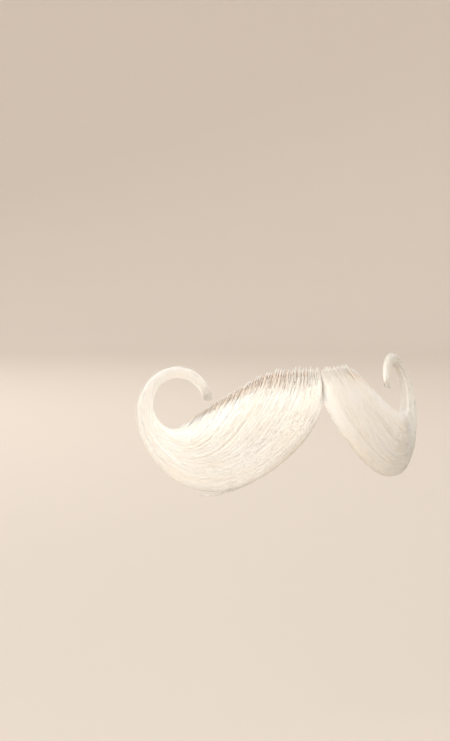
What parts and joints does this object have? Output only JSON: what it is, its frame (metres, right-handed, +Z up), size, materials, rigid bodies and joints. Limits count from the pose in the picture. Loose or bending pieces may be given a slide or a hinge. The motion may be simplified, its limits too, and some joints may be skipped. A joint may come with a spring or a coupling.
{
  "type": "fake handlebar moustache",
  "caption": "False handlebar moustache of white hair combed from a middle parting on a curved strip of flesh-coloured lace, its ends rolled up into ring-shaped curls; sticks to the upper lip.",
  "frame": {"origin": "middle of the lace's back at the parting, where it sticks to the upper lip", "axes": "+Z up, +X towards the wearer's left, +Y into the face, so the front faces -Y"},
  "size_m": [0.1558, 0.0415, 0.0581],
  "materials": {
    "white_hair": "combed and set cream-white hair, soft satin",
    "flesh_lace": "fine matte wig net"
  },
  "bodies": {
    "root": {"lace_backing": "flesh_lace", "right_half": "white_hair", "left_half": "white_hair"}
  },
  "joints": []
}
